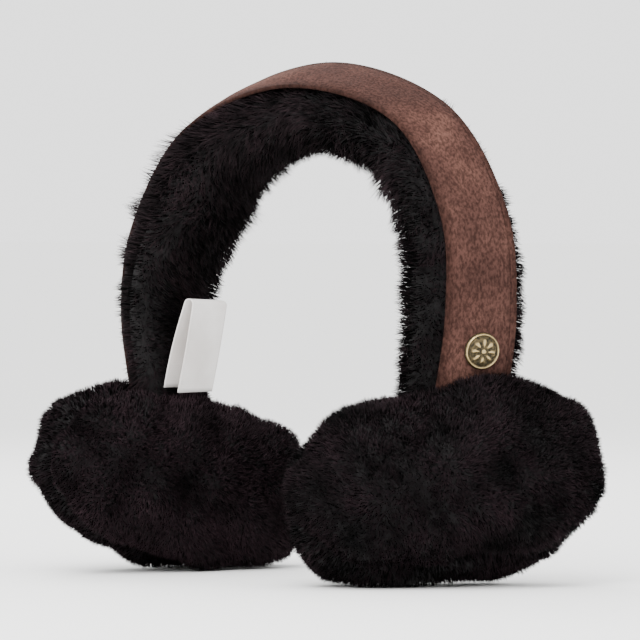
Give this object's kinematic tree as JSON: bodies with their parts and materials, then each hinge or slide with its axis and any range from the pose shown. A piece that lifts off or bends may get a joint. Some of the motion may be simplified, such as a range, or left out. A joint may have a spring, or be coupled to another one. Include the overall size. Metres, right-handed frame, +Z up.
{
  "type": "fur earmuffs",
  "caption": "Sheepskin earmuffs: an arched suede headband lined with deep fur, fat fur ear pads, a metal stud and a blank folded care label.",
  "frame": {"origin": "centre of the bounding box's underside, where the pads stand", "axes": "+X towards the wearer's side that carries the stud, -Y to the front, +Z up along the arch"},
  "size_m": [0.2366, 0.1256, 0.2058],
  "materials": {
    "suede": "brushed brown suede, matt, with paler worn patches",
    "band_pile": "long dark brown sheepskin pile",
    "pad_pile": "dense sheared dark brown sheepskin pile",
    "antique_metal": "antiqued brass with dark recesses",
    "satin_label": "off-white woven satin"
  },
  "bodies": {
    "root": {"band_suede": "suede", "band_fur": "band_pile", "pad_cover_right": "pad_pile", "pad_face_right": "pad_pile", "pad_cover_left": "pad_pile", "pad_face_left": "pad_pile", "stud": "antique_metal", "care_label": "satin_label"}
  },
  "joints": []
}
